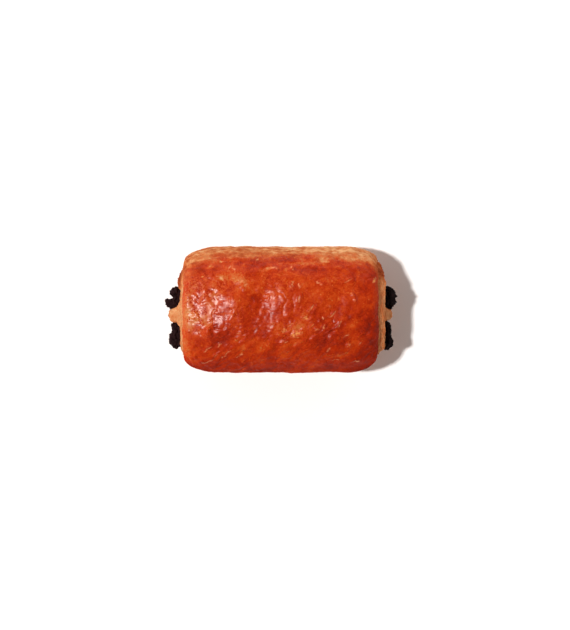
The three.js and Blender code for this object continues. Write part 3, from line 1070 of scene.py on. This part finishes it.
class Skin:
    """The pastry's points, with the fields and the noises that their browning is worked out from."""

    def __init__(self, piece):
        p = field(piece, "position", 3) / MM
        self.p = p
        self.x, self.y, self.z = p.T
        self.gap, self.proud, self.cut = (field(piece, name) for name in ("gap", "proud", "cut"))
        self.wander = layered_noise(p, 14.0, 3, seed=201)
        self.fine = layered_noise(p, 3.0, 2, seed=202)
        self.banded = layered_noise(p * [0.22, 1, 1], 2.4, 3, seed=203)
        self.blotch = noise(p * [0.6, 1, 1], 5.0, seed=204)
        self.patch = glaze_patch(p)
        self.rear = smooth(self.y, 16, 22)
        self.zones = np.zeros(len(p))
        for x, y, along, across, darker in BROWNING_AND_PAINTED_LIGHT_ZONES:
            self.zones += darker * np.exp(-(((self.x - x) / along) ** 2) - ((self.y - y) / across) ** 2)


def brushed_share(skin):
    """Where the egg wash was brushed: over the top and down the front flank, but hardly down the
    rear one. From 0 to 1, with a wider edge at the rear and drips at the front."""
    at_rear = skin.y > 0
    along = skin.p * [1, 0, 0]
    drips = np.where(at_rear, 0.0, 4.5 * noise(along, 9.0, seed=207) + 2.0 * noise(along, 4.0, seed=208))
    edge = np.where(at_rear, 34.0, 10.5) + 2.0 * skin.wander + 2.4 * skin.fine
    edge = edge + 2.2 * skin.blotch + 1.0 * skin.banded + drips
    return smooth(skin.z - edge, np.where(at_rear, -5.0, -1.8), np.where(at_rear, 4.0, 2.4))


def glazed_browning_and_shade(skin):
    """How far the washed crust has browned, with painted shade and light worked in."""
    p, x, y, z = skin.p, skin.x, skin.y, skin.z
    bake_and_shade = 0.47 + 0.08 * skin.wander + 0.05 * skin.fine
    bake_and_shade += skin.zones * (1 + 0.9 * skin.fine) + 0.12 * skin.banded * skin.rear
    # It browned unevenly, in patches and, where the dough stretched, in slanting streaks.
    slanted = layered_noise(along_streaks(p) * [0.35, 1, 1], 3.6, 2, seed=211)
    bake_and_shade += 0.10 * noise(p, 10.0, seed=210) + 0.12 * slanted * smooth(-y, -12, 6)
    # It is darker towards the front, as painted shade for the dimmer light there, and most low on the
    # front flank. It is darker at the right end, painted shade where the top turns from the lamp, and
    # paler at the left end, partly painted light where it faces the lamp and partly a thinner wash. It
    # is paler at the rear, and where the glaze pooled, which is in part a painted sheen.
    bake_and_shade += 0.03 * smooth(-y, 4, 12) + 0.03 * smooth(-y, 8, 16) + 0.06 * smooth(-y, 25, 31)
    bake_and_shade += 0.07 * smooth(x, 34, 50) - 0.05 * smooth(-x, 43, 49)
    bake_and_shade -= 0.09 * skin.patch + 0.03 * smooth(y, 14, 20)
    # Pale flecks show through along the rear edge of the wash.
    flecks = smooth(noise(p * [0.4, 1, 1], 2.2, seed=212) + 0.5 * skin.blotch, 0.25, 0.6)
    bake_and_shade -= 0.24 * flecks * bell(y - FLECKS_Y, 5.0)
    # Low on the flank the wash ran thin.
    thin = smooth(26 - z, 0, 14) * np.clip(0.6 + 0.8 * skin.blotch + 0.7 * skin.banded, 0, 1.4)
    return bake_and_shade - 0.22 * thin


def bare_browning_and_shade(skin):
    """How far the unwashed crust has browned, most near the tray and along the cut edges, with the
    zones' painted shade and light.
    """
    p, x, y, z = skin.p, skin.x, skin.y, skin.z
    bake_and_shade = 0.22 + 0.08 * skin.wander + 0.10 * skin.fine + 0.08 * skin.blotch
    # The zones add their painted shade and light here too.
    bake_and_shade += 0.20 * skin.banded + 0.7 * skin.zones + 0.16 * smooth(7 - z, 0, 5)
    bake_and_shade += 0.07 * smooth(-x, -22, 12) + 0.10 * smooth(np.abs(x), 46, 50)
    # The flakes of the rear flank browned apart, most near the top.
    flaked = 0.22 * noise(p * [0.6, 1, 1], 1.5, seed=213) + 0.10 * noise(p, 4.5, seed=214)
    return bake_and_shade + flaked * skin.rear * lerp(0.35, 1.0, smooth(z, 18, 30))


def end_browning_and_shade(skin):
    """How far the cut ends have browned, most by the rim and at the rear, with painted shade in their
    gaps and at the right end.
    """
    x, y, z = skin.x, skin.y, skin.z
    leafy = noise(skin.p * [0.3, 0.5, 1.6], 2.6, seed=209)
    # The gaps between the leaves are darkened as painted shade.
    bake_and_shade = 0.20 + 0.10 * skin.proud + 0.05 * skin.fine + 0.07 * leafy + 0.12 * skin.gap
    bake_and_shade += 0.14 * smooth(7 - z, 0, 7) + 0.16 * (1 - smooth(skin.cut, 0.5, 1.0))
    # The rear browned more. The small step darker at the right end is painted shade, for the end that
    # faces away from the lamp.
    bake_and_shade += 0.14 * smooth(y, 13, 20) + 0.02 * (x > 0)
    # The layers that stood out furthest at the rear of the left end browned most.
    bake_and_shade += 0.34 * smooth(-x, 50.2, 51.8) * smooth(y, 10, 13)
    darker_rear = (x > 0) * smooth(y + 3 * leafy, 14.5, 20.5) * smooth(z, 6, 24)
    return bake_and_shade + 0.16 * darker_rear * (1 + 0.8 * leafy)


def paint(piece):
    """Sets the piece's fields of egg wash, shine, and browning with painted shade and light, from where
    each point is.
    """
    skin = Skin(piece)
    crust = 1 - smooth(skin.cut, 0.3, 1.0)
    brushed = brushed_share(skin)
    washed = brushed * crust
    # Small round spots stayed pale.
    spot, luck = nearest_cell(skin.p, 6.5, seed=205)
    spots = smooth(0.12 - spot, 0, 0.06) * (luck > 0.45)
    on_crust = lerp(bare_browning_and_shade(skin), glazed_browning_and_shade(skin), brushed)
    bake_and_shade = lerp(end_browning_and_shade(skin), on_crust, crust) - 0.14 * spots * washed
    # The wash shines on the top, and dried dull on the flanks and along the cut edges.
    from_rim = smooth(CRUST_HALF - np.abs(skin.x), 0.3, np.where(skin.x > 0, 6.0, 3.0))
    gloss = washed * smooth(skin.z, 25, 36) * lerp(0.25, 1, from_rim)
    pooled = 0.48 + 0.52 * smooth(skin.patch + 0.35 * noise(skin.p, 5.0, seed=206), 0.15, 0.7)
    pooled *= lerp(1.0, 0.4, smooth(-skin.y, 10, 25))
    # Where the slanting streaks lie, which are paler partly as painted highlight.
    stretched_and_glinting = washed * smooth(-skin.y, -3, 8) * smooth(skin.x, -42, -20) * smooth(skin.z, 31, 36)
    set_fields(piece, {
        "gloss": gloss,
        "stretched_and_glinting": stretched_and_glinting,
        "washed": washed,
        "pooled": pooled * gloss,
        "bake_and_shade": np.clip(bake_and_shade, 0.02, 1.0),
    })


def apply_tunnels(piece):
    """Cuts the batons' tunnels through the pastry."""
    cutters = [tunnel_cutter(name) for name in BATONS]
    for cutter in cutters:
        cut = piece.modifiers.new("tunnel", "BOOLEAN")
        cut.solver = "MANIFOLD"
        cut.operation = "DIFFERENCE"
        cut.object = cutter
    evaluated = piece.evaluated_get(bpy.context.evaluated_depsgraph_get())
    cut_mesh = bpy.data.meshes.new_from_object(evaluated)
    piece.modifiers.clear()
    piece.data = cut_mesh
    for cutter in cutters:
        bpy.data.objects.remove(cutter)


pastry = build_pastry()
apply_tunnels(pastry)
paint(pastry)
pastry.data.materials.clear()
pastry.data.materials.append(dough_material())
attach(pastry, "root")
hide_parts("pastry")

chocolate = chocolate_material()
for name in BATONS:
    build_baton(name).data.materials.append(chocolate)


# ---- Stage, light and camera ----

# The floor and the camera's place are in metres, and the lens is in millimetres.
FLOOR_SIZE = 6
PAPER_COLOUR = (0.90, 0.90, 0.92, 1)
SUN_STRENGTH = 3.3
SUN_WIDTH = math.radians(4.5)
SUN_TILT = math.radians(27.5)
SUN_COLOUR = (1.0, 0.985, 0.95)
WALL_LIGHT = (1.12, 0.96, 0.87, 1)
CEILING_LIGHT = (0.03, 0.027, 0.025, 1)
FRONT_WALL = 0.5
REAR_WALL = 1.5
CAMERA_LENS = 100
CAMERA_PLACE = (0.0023, -0.0028, 0.925)


def make_floor():
    bpy.ops.mesh.primitive_plane_add(size=FLOOR_SIZE)
    floor = bpy.context.object
    floor.name = "floor"
    paper = Nodes(bpy.data.materials.new("paper"))
    floor.data.materials.append(paper.shade(Base_Color=PAPER_COLOUR, Roughness=0.9))


def make_sun():
    sun = bpy.data.objects.new("key", bpy.data.lights.new("key", "SUN"))
    sun.data.energy = SUN_STRENGTH
    sun.data.angle = SUN_WIDTH
    sun.data.color = SUN_COLOUR
    sun.rotation_euler = (0, -SUN_TILT, 0)
    bpy.context.scene.collection.objects.link(sun)


def studio_world():
    """Pale walls, brightest behind the pastry, and a dark ceiling. Seen straight on, all is white."""
    world = Nodes(bpy.data.worlds.new("studio"))
    direction = world.add("ShaderNodeTexCoord", "Generated")
    upward = world.add("ShaderNodeSeparateXYZ", "Z", Vector=direction)
    rearward = world.add("ShaderNodeSeparateXYZ", "Y", Vector=direction)
    ceiling = world.add("ShaderNodeMapRange", Value=upward, From_Min=0.35, From_Max=0.8)
    strength = world.add(
        "ShaderNodeMapRange", Value=rearward,
        From_Min=-1, From_Max=1, To_Min=FRONT_WALL, To_Max=REAR_WALL,
    )
    walls = world.add(
        "ShaderNodeBackground", Color=world.mix(ceiling, WALL_LIGHT, CEILING_LIGHT), Strength=strength,
    )
    backdrop = world.add("ShaderNodeBackground", Color=(1, 1, 1, 1))
    seen = world.add("ShaderNodeLightPath", "Is Camera Ray")
    choose = world.tree.nodes.new("ShaderNodeMixShader")
    for socket, value in zip(choose.inputs, (seen, walls, backdrop), strict=True):
        world.put(socket, value)
    world.put(world.tree.nodes["World Output"].inputs["Surface"], choose.outputs[0])
    return world.owner


def make_camera():
    camera = bpy.data.objects.new("camera", bpy.data.cameras.new("camera"))
    bpy.context.scene.collection.objects.link(camera)
    camera.data.lens = CAMERA_LENS
    camera.location = CAMERA_PLACE
    return camera


make_floor()
make_sun()
bpy.context.scene.world = studio_world()
bpy.context.scene.camera = make_camera()
bpy.context.scene.view_settings.view_transform = "Standard"
